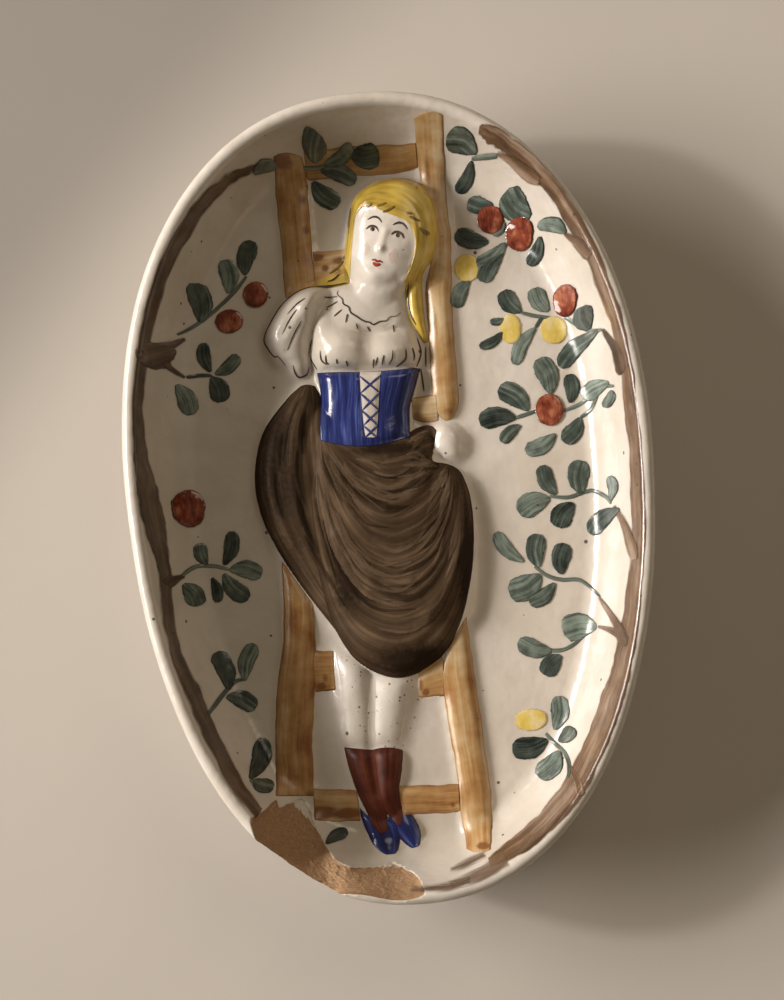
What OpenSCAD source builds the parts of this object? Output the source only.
// Oval earthenware mould dish: a girl on a ladder in relief, between two fruiting branches.
//
// X runs across the dish, Y along it toward the head of the figure and Z up. The foot ring
// stands on Z = 0. The picture is laid out on a grid that stretches with the dish.

/* [Dish] */
// Length of the dish over its rim
dish_long = 300; // [260:5:360]
// Width of the dish over its rim
dish_wide = 194; // [170:2:240]
// Height of the rim above the table
dish_high = 50; // [44:1:70]
// Thickness of the floor
floor_thick = 8; // [6:0.5:12]
// Width of the wall in plan, from the outside of the rim to the floor
wall_wide = 24; // [20:1:30]
// Diameter of the rolled rim
rim_thick = 6; // [4:0.5:8]
// How much wider the dish is toward the head than toward the shoes, as a share of its width
rim_egg = 0.042; // [0:0.002:0.08]

/* [Foot] */
// Height of the foot ring
foot_high = 8; // [4:1:12]
// Width of the foot ring
foot_wide = 9; // [6:1:14]
// Distance in plan from the outside of the rim to the outside of the foot ring
foot_inset = 34; // [32:1:44]

/* [Relief] */
// Height of the ladder's rails above the floor
rail_high = 6; // [3:0.5:9]
// Height of the rungs above the floor
rung_high = 4; // [2:0.5:6]
// Height of the nose and brow above the floor
head_high = 15; // [10:0.5:18]
// Height of the blouse and corset above the floor
body_high = 13; // [8:0.5:17]
// Height of the skirt above the floor
skirt_high = 13; // [8:0.5:17]
// Height of the legs above the floor
leg_high = 7; // [4:0.5:10]
// Thickness of the branches on the wall
branch_thick = 0.9; // [0.6:0.1:2]
// Thickness of the leaves
leaf_thick = 0.8; // [0.6:0.1:1.6]
// Height of the fruits above the dish
fruit_high = 1.8; // [1:0.2:4]
// Depth to which each piece of relief is luted into the dish
luting = 0.4; // [0.2:0.1:0.8]

/* [Broken rim] */
// Whether the rim is broken at the lower left
rim_broken = true; // [true, false]
// Depth of the break below the top of the rim
break_deep = 6; // [3:0.5:10]

/* [Hidden] */
// The picture's grid has this many squares from the middle to the side and to the head end,
// which are 1 mm wide at the sizes above
GRID = [97, 150];
half_long = dish_long / 2;
half_wide = dish_wide / 2;
rim_r = rim_thick / 2;
bead_z = dish_high - rim_r;
floor_z = foot_high + floor_thick;
// Exponents of the rim's outline and of the wall's curve
CORNER = 2.2;
WALL_CURVE = 2.2;
// The outside wall leaves the flat underside at this inset
base_inset = wall_wide * 1.25;
// Steps round the dish
TURNS = 72;
SLIP = "ivory";
CLAY = "burlywood";
WOOD = "peru";
BROWN = "saddlebrown";
COBALT = "royalblue";
LEAF = "darkolivegreen";

// ---- the dish as formulas ----

// Distance from the centre, at the angle a, to the oval that lies i inside the rim's outside
function oval_at(a, i) =
    let (wide = (half_wide - i) * (1 + rim_egg * sin(a)), long = half_long - i)
    pow(pow(abs(cos(a)) / wide, CORNER) + pow(abs(sin(a)) / long, CORNER), -1 / CORNER);

// How far inside the rim's outside a place in the plan lies
function inset_of(p) =
    let (a = atan2(p[1], p[0]), rim = oval_at(a, 0))
    (rim - norm([p[0], p[1]])) * wall_wide / (rim - oval_at(a, wall_wide));

// Height of the glazed surface at the distance i inside the outside of the rim
function skin_z(i) =
    i >= wall_wide ? floor_z
    : i > rim_thick
    ? floor_z + (bead_z - floor_z) * pow((wall_wide - i) / (wall_wide - rim_thick), WALL_CURVE)
    : bead_z + sqrt(max(0, rim_r * rim_r - pow(i - rim_r, 2)));

// The same height at a place in the plan
function dish_z(p) = skin_z(inset_of(p));

// A place at the angle a and inset i, lifted off the glazed surface along its own normal
function on_skin(a, i, lift) =
    let (
        slope = (skin_z(i + 0.1) - skin_z(i - 0.1)) / 0.2,
        steep = norm([slope, 1]),
        out = oval_at(a, i) + lift * slope / steep
    )
    [out * cos(a), out * sin(a), skin_z(i) + lift / steep];

// A place of the grid on the dish's own size
function lay(p) = [p[0] * half_wide / GRID[0], p[1] * half_long / GRID[1]];

// ---- smooth runs between a few rows ----

// Value at t between b and c on the smooth curve through a, b, c and d
function between(a, b, c, d, t) =
    0.5 * (2 * b + (c - a) * t + (2 * a - 5 * b + 4 * c - d) * t * t
    + (3 * b - a - 3 * c + d) * t * t * t);

// The rows with steps - 1 more between each pair
function run(rows, steps) = [
    for (i = [0 : len(rows) - 2]) for (j = [0 : steps - 1])
        between(
            rows[max(i - 1, 0)], rows[i], rows[i + 1], rows[min(i + 2, len(rows) - 1)],
            j / steps
        ),
    rows[len(rows) - 1]
];

// ---- closed solids from rings of points ----

// Triangles of a tube of rings, each of n points, closed at both ends
function tube_faces(rings, n) = concat(
    [for (r = [0 : rings - 2]) for (k = [0 : n - 1])
        [r * n + k, (r + 1) * n + k, (r + 1) * n + (k + 1) % n]],
    [for (r = [0 : rings - 2]) for (k = [0 : n - 1])
        [r * n + k, (r + 1) * n + (k + 1) % n, r * n + (k + 1) % n]]
);

// Triangles across one end ring, whose points run over the top and back under the bottom
function end_faces(first, across, flip) = [
    for (k = [0 : across - 1])
        let (
            top = first + k, top_next = top + 1,
            low = first + 2 * across + 1 - k, low_next = low - 1
        )
        each [
            flip ? [top, top_next, low_next] : [top, low_next, top_next],
            flip ? [top, low_next, low] : [top, low, low_next]
        ]
];

module banded(rings, across) {
    n = 2 * (across + 1);
    polyhedron(
        [for (ring = rings) each ring],
        concat(
            tube_faces(len(rings), n),
            end_faces(0, across, true),
            end_faces((len(rings) - 1) * n, across, false)
        ),
        convexity = 4
    );
}

// Relief on the dish. A row is [x left, y left, x right, y right, height, bow]: a line from the
// left edge to the right edge, bowed along Y, crowned to the height. "full" above 1 squares the
// crown, and "lip" is the share of the height at the edges.
module relief(rows, steps = 3, across = 8, full = 1, lip = 0.15) {
    rings = [for (row = run(rows, steps))
        let (
            ts = [for (k = [0 : across]) (1 - cos(180 * k / across)) / 2],
            plan = [for (t = ts)
                lay([
                    row[0] + (row[2] - row[0]) * t,
                    row[1] + (row[3] - row[1]) * t + row[5] * 4 * t * (1 - t)
                ])]
        )
        concat(
            [for (k = [0 : across])
                let (crown = pow(sin(180 * k / across), 1 / full))
                [plan[k][0], plan[k][1], dish_z(plan[k]) + row[4] * (lip + (1 - lip) * crown)]],
            [for (k = [across : -1 : 0])
                [plan[k][0], plan[k][1], dish_z(plan[k]) - luting]]
        )
    ];
    banded(rings, across);
}

// A band of relief along the wall. A row is [angle, inset of the middle, width, thickness], and
// the inset and the width are shares of the wall's width.
module wall_band(rows, steps = 2, across = 4) {
    rings = [for (row = run(rows, steps))
        let (insets = [for (k = [0 : across]) wall_wide * (row[1] + row[2] * (k / across - 0.5))])
        concat(
            [for (k = [0 : across])
                on_skin(row[0], insets[k], row[3] * (0.2 + 0.8 * sin(180 * k / across)))],
            [for (k = [across : -1 : 0]) on_skin(row[0], insets[k], -luting)]
        )
    ];
    banded(rings, across);
}

// A place of the grid, lifted off the glazed surface
function on_plan(p, lift) =
    let (q = lay(p), a = atan2(q[1], q[0]), i = inset_of(q))
    i < wall_wide ? on_skin(a, i, lift) : [q[0], q[1], floor_z + lift];

// A leaf is [x tip, y tip, x base, y base, width]; its edges are a third as thick as its rib
module leaf(row) {
    tip = [row[0], row[1]];
    base = [row[2], row[3]];
    along = (tip - base) / norm(tip - base);
    side = [along[1], -along[0]] * row[4] / 2;
    // Place along the leaf and width there, as shares of the whole
    stations = [[0, 0.3], [0.35, 0.9], [0.72, 1], [1, 0.45]];
    rings = [for (s = stations)
        let (mid = base + (tip - base) * s[0], reach = side * s[1])
        concat(
            [for (t = [-1 : 1]) on_plan(mid + reach * t, leaf_thick * (1 - 0.67 * abs(t)))],
            [for (t = [1 : -1 : -1]) on_plan(mid + reach * t, -luting)]
        )
    ];
    banded(rings, 2);
}

module leaves(rows) {
    color(LEAF) for (row = rows) leaf(row);
}

// A fruit is [x, y, radius]: a cap of a sphere, of the height given, that stands on the dish
module fruit(row, high) {
    foot = on_plan([row[0], row[1]], 0);
    top = on_plan([row[0], row[1]], 1);
    up = top - foot;
    round = row[2] * half_wide / GRID[0];
    ball = (round * round + high * high) / (2 * high);
    translate(foot) rotate([0, acos(up[2]), atan2(up[1], up[0])]) {
        intersection() {
            translate([0, 0, high - ball]) sphere(ball, $fn = 48);
            translate([0, 0, -3 * luting]) cylinder(h = high + 6 * luting, r = round, $fn = 48);
        }
    }
}

// ---- the dish ----

// One ring of the shell: every angle at the inset i and height z
function shell_ring(i, z) = [
    for (t = [0 : TURNS - 1])
        let (a = 360 * t / TURNS, r = oval_at(a, i))
        [r * cos(a), r * sin(a), z]
];

function shell_rings() = concat(
    [for (u = [0 : 18 : 90])
        shell_ring(base_inset * (1 - sin(u)), bead_z - (bead_z - foot_high) * cos(u))],
    [for (u = [36 : 36 : 180]) shell_ring(rim_r * (1 - cos(u)), bead_z + rim_r * sin(u))],
    [for (s = [1 : 8])
        let (i = rim_thick + (wall_wide - rim_thick) * s / 8)
        shell_ring(i, skin_z(i))]
);

module shell() {
    rings = shell_rings();
    count = len(rings);
    under = count * TURNS;
    over = under + 1;
    last = (count - 1) * TURNS;
    polyhedron(
        concat([for (ring = rings) each ring], [[0, 0, foot_high], [0, 0, floor_z]]),
        concat(
            [for (r = [0 : count - 2]) for (t = [0 : TURNS - 1])
                let (a = r * TURNS + t, b = r * TURNS + (t + 1) % TURNS)
                each [[a, a + TURNS, b + TURNS], [a, b + TURNS, b]]],
            [for (t = [0 : TURNS - 1]) [under, t, (t + 1) % TURNS]],
            [for (t = [0 : TURNS - 1]) [over, last + (t + 1) % TURNS, last + t]]
        ),
        convexity = 6
    );
}

// Rows of the break: [angle, inset of its inner edge as a share of the wall's width, inset of
// its outer edge as a share of the rim's thickness, depth there as a share of its full depth]
BREAK = [
    [243.2, 0.5, 0.42, 0], [244.2, 0.54, -0.33, 0.55], [247, 0.75, -0.33, 1],
    [250, 0.83, -0.33, 1], [252, 0.67, -0.33, 1], [254.5, 0.56, -0.33, 1],
    [257, 0.4, -0.33, 1], [260, 0.42, -0.17, 0.83], [264, 0.5, 0.25, 0.5],
    [267.5, 0.48, 0.37, 0.17], [269.5, 0.33, 0.4, 0], [270.3, 0.19, 0.5, -0.08]
];

// Four corners of the lump that broke away, at one row of the break
module break_corners(row) {
    inset = row[1] * wall_wide;
    top = dish_high + break_deep;
    r_in = oval_at(row[0], inset);
    r_out = oval_at(row[0], row[2] * rim_thick);
    way = [cos(row[0]), sin(row[0])];
    low_in = skin_z(inset) - 3 * luting;
    low_out = dish_high - row[3] * break_deep;
    for (p = [[r_in, low_in], [r_out, low_out], [r_out, top], [r_in, top]])
        translate([way[0] * p[0], way[1] * p[0], p[1]]) cube(0.02, center = true);
}

module broken_lump() {
    for (k = [0 : len(BREAK) - 2]) {
        hull() {
            break_corners(BREAK[k]);
            break_corners(BREAK[k + 1]);
        }
    }
}

module dish_body() {
    color(SLIP) {
        difference() {
            shell();
            if (rim_broken) broken_lump();
        }
    }
}

module foot_outline(i) {
    polygon([for (t = [0 : TURNS - 1])
        let (a = 360 * t / TURNS, r = oval_at(a, i))
        [r * cos(a), r * sin(a)]]);
}

module foot_ring() {
    color(CLAY) {
        linear_extrude(foot_high) {
            difference() {
                foot_outline(foot_inset);
                foot_outline(foot_inset + foot_wide);
            }
        }
    }
}

// ---- the ladder ----

module rail(rows) {
    color(WOOD) relief(rows, steps = 2, across = 6, full = 2.2, lip = 0.3);
}

module rung(rows) {
    color(WOOD) relief(rows, steps = 2, across = 4, full = 2.2, lip = 0.3);
}

module left_rail_upper() {
    h = rail_high;
    rail([
        [-33.4, 132, -23.5, 132.6, h * 0.6, 1], [-34.6, 124, -23, 124, h, 0],
        [-35, 117, -22.8, 117, h, 0], [-34.2, 98, -23, 98, h, 0],
        [-34.6, 80, -22.8, 84, h, 0]
    ]);
}

module left_rail_lower() {
    h = rail_high;
    rail([
        [-43.8, -20.5, -33.4, -38, h, 0], [-45, -46, -33.4, -47, h, 0],
        [-50, -73.5, -36, -74.5, h, 0], [-51.6, -92, -38, -92.5, h, 0],
        [-52, -108, -39, -109.5, h * 0.7, 0]
    ]);
}

module right_rail_upper() {
    h = rail_high;
    rail([
        [20.6, 139.6, 31, 138.2, h * 0.3, 1], [20.8, 130, 30.8, 129, h * 0.9, 0],
        [21.2, 118.8, 30.5, 117, h, 0], [26.4, 110, 30.4, 110, h, 0],
        [27, 99, 30.6, 99, h, 0], [25.8, 88, 30, 88, h, 0], [21.6, 80.4, 29.2, 79, h, 0],
        [19.4, 70, 28.8, 69, h, 0], [19, 56, 28.7, 55, h, 0], [18.6, 38, 28.4, 37, h, 0],
        [20.6, 29.4, 26, 29, h * 0.7, -1.5]
    ]);
}

module right_rail_lower() {
    h = rail_high;
    rail([
        [14.8, -61.2, 24, -47.6, h, 0], [13.6, -70, 25, -66, h, 0],
        [14.1, -88, 26.3, -89, h, 0], [15.7, -108, 27.2, -109, h, 0],
        [16.3, -124, 27, -124.5, h, 0], [17, -133.4, 25.6, -133.6, h * 0.6, -1]
    ]);
}

module rung_1() {
    h = rung_high;
    rung([[-22.4, 125.6, -22.4, 134.6, h, 0], [-2, 125.8, -2, 135.4, h, 0],
        [20.4, 126, 20.4, 133.8, h, 0]]);
}

module rung_2() {
    h = rung_high;
    rung([[-22.6, 85.6, -22.6, 97.6, h, 0], [-16, 85.2, -16, 97.2, h, 0],
        [-11.2, 87.6, -9.6, 96.8, h, 0]]);
}

module rung_3() {
    h = rung_high;
    rung([[10.4, 29.6, 10.6, 37.4, h * 0.8, 0], [14, 28, 14, 38, h, 0],
        [18.4, 28, 18.4, 38, h, 0]]);
}

module rung_4() {
    h = rung_high;
    rung([[-35, -70.4, -34.4, -55.4, h, 0], [-31, -70.8, -31, -55.8, h, 0],
        [-27.4, -70.8, -27.2, -56.2, h * 0.8, 0]]);
    rung([[3.6, -75.6, 4.4, -67, h * 0.8, 0], [8, -76, 9, -64.6, h, 0],
        [13.4, -76.4, 14, -62, h, 0]]);
}

module rung_5() {
    h = rung_high;
    rung([[-38.8, -118, -38.8, -107, h, 0], [-30, -119.2, -30, -108, h, 0],
        [-22, -120.2, -22.4, -109, h, 0]]);
    rung([[-6.4, -119, -6.6, -108.8, h, 0], [5, -119.4, 5, -109.2, h, 0],
        [15.6, -119.8, 15.8, -109.6, h, 0]]);
}

// ---- the figure ----

module head() {
    h = head_high;
    color(SLIP) {
        relief([
            [-4.4, 110, 16.4, 105.4, h * 0.72, 2.5], [-6, 103.4, 19, 99.6, h * 0.94, 0],
            [-6.6, 95.4, 18.8, 94, h, 0], [-5.8, 87, 17, 88.4, h * 0.9, 0],
            [-4.4, 82, 12.4, 82.4, h * 0.7, -2], [-10.4, 78, 10.4, 77.6, h * 0.58, -3],
            [-10.2, 72.6, 9.4, 70.6, h * 0.56, -6]
        ], steps = 2, across = 10, lip = 0.2);
    }
}

module hair_cap() {
    h = head_high;
    color("goldenrod") {
        relief([
            [1.6, 122.2, 14, 122.6, h * 0.35, 1], [-4, 118, 21.6, 118.4, h * 0.7, 1.5],
            [-5.8, 112.4, 25, 111, h * 0.92, 2], [-4.8, 110.6, 19.4, 105, h * 0.86, 3]
        ], steps = 2, across = 8, lip = 0.2);
        relief([
            [19.4, 105, 26.2, 110.6, h * 0.66, 0], [19.6, 99, 26.8, 99.4, h * 0.6, 0],
            [18, 89, 25.2, 87.6, h * 0.55, 0], [13, 82, 21, 80, h * 0.45, 0]
        ], steps = 2, across = 6, lip = 0.3);
        relief([
            [-7.4, 110.4, -5, 109.4, h * 0.5, 0], [-9, 100, -6.6, 100, h * 0.42, 0],
            [-10.4, 90, -6.2, 88, h * 0.36, 0], [-10.6, 84, -5, 82.8, h * 0.3, 0]
        ], steps = 2, across = 6, lip = 0.3);
    }
}

module hair_lock_left() {
    h = rung_high * 1.3;
    color("goldenrod") {
        relief([
            [-11, 84.4, -10.8, 91.4, h, 0], [-15, 83.6, -14, 88.4, h, 0],
            [-22.4, 82.4, -22.2, 84.4, h * 0.6, 0]
        ], steps = 2, across = 6, lip = 0.3);
    }
}

module hair_lock_right() {
    h = head_high * 0.5;
    color("goldenrod") {
        relief([
            [11, 80, 18, 79.4, h * 0.8, 0], [12, 72, 18.8, 72, h, 0],
            [14.6, 64, 18.9, 64, h * 0.9, 0], [16.6, 57.6, 18.6, 57.2, h * 0.6, 0]
        ], steps = 2, across = 6, lip = 0.3);
    }
}

module blouse() {
    h = body_high;
    color(SLIP) {
        relief([
            [-14.6, 81.4, 10.4, 76.4, h * 0.6, -15], [-20, 78, 12.6, 70, h * 0.62, -11],
            [-25, 67, 14, 62, h * 0.86, -4], [-26.4, 57, 15.2, 55, h, -1.5],
            [-24.6, 50, 14, 48.4, h * 0.82, 0]
        ], steps = 3, across = 10, full = 1.4, lip = 0.2);
    }
}

module sleeve_left() {
    h = body_high * 0.66;
    color(SLIP) {
        relief([
            [-24, 83.4, -16, 82, h * 0.55, 0], [-32, 81, -21, 76.6, h * 0.9, 0],
            [-39.4, 74, -24.6, 68.4, h, 0], [-43.8, 66, -26, 62, h * 0.95, 0],
            [-41.4, 58, -27, 57, h * 0.7, 0], [-35, 52.6, -27, 53, h * 0.5, 0],
            [-31.8, 49.4, -28, 50, h * 0.3, 0]
        ], steps = 2, across = 8, full = 1.2, lip = 0.15);
    }
}

module sleeve_right() {
    h = rung_high;
    color(SLIP) {
        relief([
            [14.8, 61, 18.6, 56.6, h * 0.6, 0], [15.8, 53, 18.7, 52, h, 0],
            [15, 45, 18.6, 44.6, h, 0], [13, 39, 18, 38.8, h * 0.5, 0]
        ], steps = 2, across = 6, lip = 0.15);
    }
}

module corset() {
    h = body_high;
    color(COBALT) {
        relief([
            [-24.2, 49.4, 13.8, 47.8, h * 0.84, -0.8], [-23.4, 42, 12.2, 41, h * 0.8, 0],
            [-22.8, 34, 9.2, 34, h * 0.78, 0], [-23.2, 28, 8.8, 29, h * 0.8, -2],
            [-24.4, 23, 9, 24.4, h * 0.86, -3]
        ], steps = 2, across = 10, full = 1.6, lip = 0.25);
    }
}

module skirt_flap() {
    h = skirt_high;
    color(BROWN) {
        relief([
            [-28.6, 45.6, -25.2, 44.4, h * 0.3, 1], [-36, 42, -24, 38, h * 0.6, 0],
            [-46.6, 31, -24.6, 27, h * 0.8, 0], [-50.8, 18, -28, 19, h * 0.85, 0],
            [-51.6, 8, -28.4, 6, h * 0.85, 0], [-49.4, -6, -27.4, -9, h * 0.8, 0],
            [-44.4, -18.6, -22, -23, h * 0.75, 0], [-36, -32.6, -15.6, -30.6, h * 0.65, 0],
            [-29, -42.6, -17, -37, h * 0.5, 0]
        ], steps = 2, across = 8, full = 1.2, lip = 0.25);
    }
}

module skirt_front() {
    h = skirt_high;
    color(BROWN) {
        relief([
            [-24.2, 22.4, 17.4, 26, h * 0.78, -5], [-27.4, 16, 18, 17, h * 0.92, -2],
            [-28, 6, 25.4, 8.6, h, -2], [-27.2, -8.4, 29.2, -8, h, -4],
            [-21.8, -22.6, 28.8, -22, h, -6], [-16, -31.4, 25.6, -44, h, -6],
            [-17, -38, 20.6, -52, h * 0.92, -5], [-28, -44, 16, -59.6, h * 0.86, -6],
            [-21.6, -56, 9.6, -65, h * 0.7, -5]
        ], steps = 2, across = 10, full = 1.4, lip = 0.3);
    }
}

module hand() {
    h = body_high * 0.45;
    color(SLIP) {
        relief([
            [19.4, 27.4, 24.4, 27, h * 0.5, 0], [18.6, 22.6, 28.4, 22.8, h, 0],
            [18.8, 17.4, 29.8, 16.8, h * 0.9, 0], [21, 12.6, 26.6, 12.2, h * 0.4, 0]
        ], steps = 2, across = 6, lip = 0.15);
    }
}

module leg_left() {
    h = leg_high;
    color(SLIP) {
        relief([
            [-27.2, -55.6, -13, -64.6, h, 0], [-27, -70, -13, -70, h, 0],
            [-26.6, -82, -14.8, -82, h * 0.9, 0], [-26, -92.8, -15.6, -93.4, h * 0.9, 0]
        ], steps = 2, across = 6, lip = 0.1);
    }
}

module leg_right() {
    h = leg_high;
    color(SLIP) {
        relief([
            [-12.8, -65.4, 4, -67.4, h, -1], [-12.8, -71, 3.4, -70.6, h, 0],
            [-14.6, -82, -0.4, -82, h * 0.9, 0], [-15.4, -93.4, -4.2, -94.4, h * 0.9, 0]
        ], steps = 2, across = 6, lip = 0.1);
    }
}

module stocking_left() {
    h = leg_high;
    color("firebrick") {
        relief([
            [-26, -93, -15.6, -93.6, h * 0.92, 0], [-24.6, -101, -15.8, -101, h * 0.9, 0],
            [-22.4, -111, -16, -111, h * 0.9, 0], [-19.8, -119, -15.2, -121, h * 0.8, -1.5]
        ], steps = 2, across = 6, lip = 0.2);
    }
}

module stocking_right() {
    h = leg_high;
    color("firebrick") {
        relief([
            [-15.4, -93.6, -4.2, -94.6, h * 0.92, 0], [-15.6, -101, -5.2, -102, h * 0.9, 0],
            [-15.8, -111, -6.8, -111.6, h * 0.9, 0], [-12, -118, -7, -118.6, h * 0.8, -1.5]
        ], steps = 2, across = 6, lip = 0.2);
    }
}

module shoe_left() {
    h = leg_high;
    color(COBALT) {
        relief([
            [-20.4, -119, -14.2, -121.4, h * 0.7, -2], [-19.6, -124, -10.4, -123, h * 0.8, 0],
            [-17, -129.6, -8.4, -128.6, h * 0.6, 0], [-12.6, -133.6, -9.6, -132.8, h * 0.3, 0]
        ], steps = 2, across = 6, lip = 0.25);
    }
}

module shoe_right() {
    h = leg_high;
    color(COBALT) {
        relief([
            [-11.6, -118.6, -5.6, -117.4, h * 0.7, -2], [-10, -122, -2.8, -121.2, h * 0.8, 0],
            [-7.8, -127, -1, -126.4, h * 0.6, 0], [-4.4, -131.2, -1.4, -130.6, h * 0.3, 0]
        ], steps = 2, across = 6, lip = 0.25);
    }
}

// ---- the branches on the wall ----

module branch_left() {
    h = branch_thick;
    color(BROWN) {
        wall_band([
            [106.5, 0.46, 0.06, h * 0.4], [111, 0.36, 0.17, h], [116, 0.32, 0.23, h], [128, 0.31, 0.25, h],
            [142, 0.29, 0.27, h], [157, 0.3, 0.21, h], [170, 0.32, 0.27, h], [179, 0.37, 0.35, h],
            [193, 0.34, 0.31, h], [209, 0.32, 0.23, h], [222, 0.35, 0.25, h], [235, 0.32, 0.23, h],
            [242.6, 0.29, 0.17, h * 0.7]
        ]);
    }
}

module branch_right() {
    h = branch_thick;
    color(BROWN) {
        wall_band([
            [71, 0.25, 0.08, h * 0.4], [65.5, 0.27, 0.19, h], [60, 0.28, 0.25, h], [53, 0.29, 0.26, h],
            [39, 0.28, 0.25, h], [29, 0.28, 0.23, h], [16, 0.3, 0.24, h], [0, 0.27, 0.23, h],
            [-21, 0.27, 0.24, h], [-37.5, 0.3, 0.32, h], [-46, 0.3, 0.33, h], [-55, 0.31, 0.36, h],
            [-65, 0.31, 0.36, h], [-74, 0.33, 0.33, h * 0.8], [-79, 0.33, 0.17, h * 0.4]
        ]);
    }
}

// ---- the leaves and fruits ----

module leaves_left() {
    leaves([
        // top spray, beside the ladder
        [-16, 139, -19, 131, 9], [6, 132.5, -5, 133.5, 8.5], [-4, 123.5, -17, 128.5, 6.5],
        [-11, 115.5, -20.5, 125, 8], [-34, 129, -42, 126.5, 4], [-4, 136, -15.5, 130.5, 5],
        // spray with two fruits
        [-45.5, 104, -49.5, 91, 7.5], [-57, 97.5, -56.5, 84.5, 7.5], [-68.5, 88, -68, 74, 8.5],
        // spray below the fruits
        [-67.5, 66, -65.5, 54.5, 5.5], [-54.5, 60, -64, 53.5, 5.5], [-62.5, 42.5, -65.5, 52.5, 8],
        [-74.5, 38.5, -78.5, 50, 7.5],
        // middle spray
        [-74.5, -11, -72.5, -19.5, 5.5], [-62, -7.5, -66, -20, 6], [-52, -25, -64, -22, 7],
        [-57.5, -33.5, -66.5, -23.5, 7], [-69.5, -34, -71, -24.5, 4.5],
        [-76.5, -35, -81, -26.5, 7],
        // low sprays
        [-71.5, -53, -67.5, -67.5, 7], [-56.5, -51, -61.5, -64.5, 6.5],
        [-58, -75, -68.5, -70, 7], [-56.5, -86.5, -60.5, -101, 7], [-53, -105, -59.5, -101.5, 5],
        [-27, -124, -35, -127, 4.5]
    ]);
}

module leaves_right() {
    leaves([
        // top spray
        [32.5, 132.5, 43, 127, 6.5], [34.5, 116, 41, 125, 5.5],
        // spray with two red fruits and a yellow one
        [38.5, 112, 48, 109.5, 7], [53, 112.5, 61.5, 102, 9], [47, 98, 52, 102.5, 3],
        [64, 98.5, 73.5, 91.5, 4], [33, 100.5, 45, 95.5, 7.5], [39.5, 87, 51.5, 94.5, 6],
        [41.5, 80, 50, 91, 7.5], [59.5, 85, 64.5, 94.5, 5.5], [30.5, 71, 36.5, 81.5, 6],
        // spray with two yellow fruits and a red one
        [49, 76, 55, 67, 7.5], [61, 76, 65.5, 66.5, 7.5], [43, 64.5, 48.5, 65, 3],
        [38, 55, 47.5, 60, 4], [51, 47, 60, 60.5, 5.5], [68, 44.5, 82.5, 55, 7],
        [78, 65.5, 80, 56.5, 7],
        // spray round one red fruit
        [60, 48.5, 63.5, 34.5, 8.5], [71, 41.5, 70.5, 30.5, 6], [75.5, 32, 85, 35, 7],
        [44, 38.5, 54.5, 29, 8.5], [35.5, 26, 49.5, 26.5, 8], [43.5, 17.5, 51, 23.5, 5],
        [66.5, 16, 74, 24.5, 7], [52, 13.5, 64, 19, 6.5], [83, 26.5, 85.5, 32, 4],
        // two sprays without fruit
        [58, 7.5, 62, -4, 6.5], [47.5, -10, 59.5, -5.5, 9], [73, 8, 71.5, -4.5, 8.5],
        [61.5, -16.5, 68.5, -8, 8.5], [82.5, 0.5, 82, -9, 3.5], [73.5, -20, 84.5, -12.5, 7],
        [38, -16.5, 47.5, -28.5, 5.5], [54, -18.5, 53, -31, 7.5], [64, -23, 61.5, -34.5, 7.5],
        [41, -39.5, 53.5, -34, 10], [48.5, -44.5, 58.5, -37.5, 6],
        // dark spray, and the lowest one with its yellow fruit
        [60, -56, 72.5, -55.5, 10.5], [43, -58, 55, -63, 7], [52, -72, 58.5, -65, 7.5],
        [56, -80, 53.5, -92.5, 7], [60, -92, 54.5, -97, 5], [37, -98, 50.5, -96, 8.5],
        [45.5, -109, 54.5, -100.5, 7.5]
    ]);
}

module fruits_red() {
    color("firebrick") {
        for (row = [[46.5, 104, 5], [57, 97, 5.4], [72, 69.5, 4.8], [62.5, 28.5, 5.4],
            [-46, 83, 4.8], [-57, 73.5, 4.8], [-77.5, 2.5, 6.2]])
            fruit(row, fruit_high);
    }
}

module fruits_yellow() {
    color("gold") {
        for (row = [[36, 86, 4.8], [50.5, 61, 4.6], [67, 59, 4.8], [45, -88, 4.6]])
            fruit(row, fruit_high * 0.6);
    }
}

dish_body();
foot_ring();
left_rail_upper();
left_rail_lower();
right_rail_upper();
right_rail_lower();
rung_1();
rung_2();
rung_3();
rung_4();
rung_5();
head();
hair_cap();
hair_lock_left();
hair_lock_right();
blouse();
sleeve_left();
sleeve_right();
corset();
skirt_flap();
skirt_front();
hand();
leg_left();
leg_right();
stocking_left();
stocking_right();
shoe_left();
shoe_right();
branch_left();
branch_right();
leaves_left();
leaves_right();
fruits_red();
fruits_yellow();
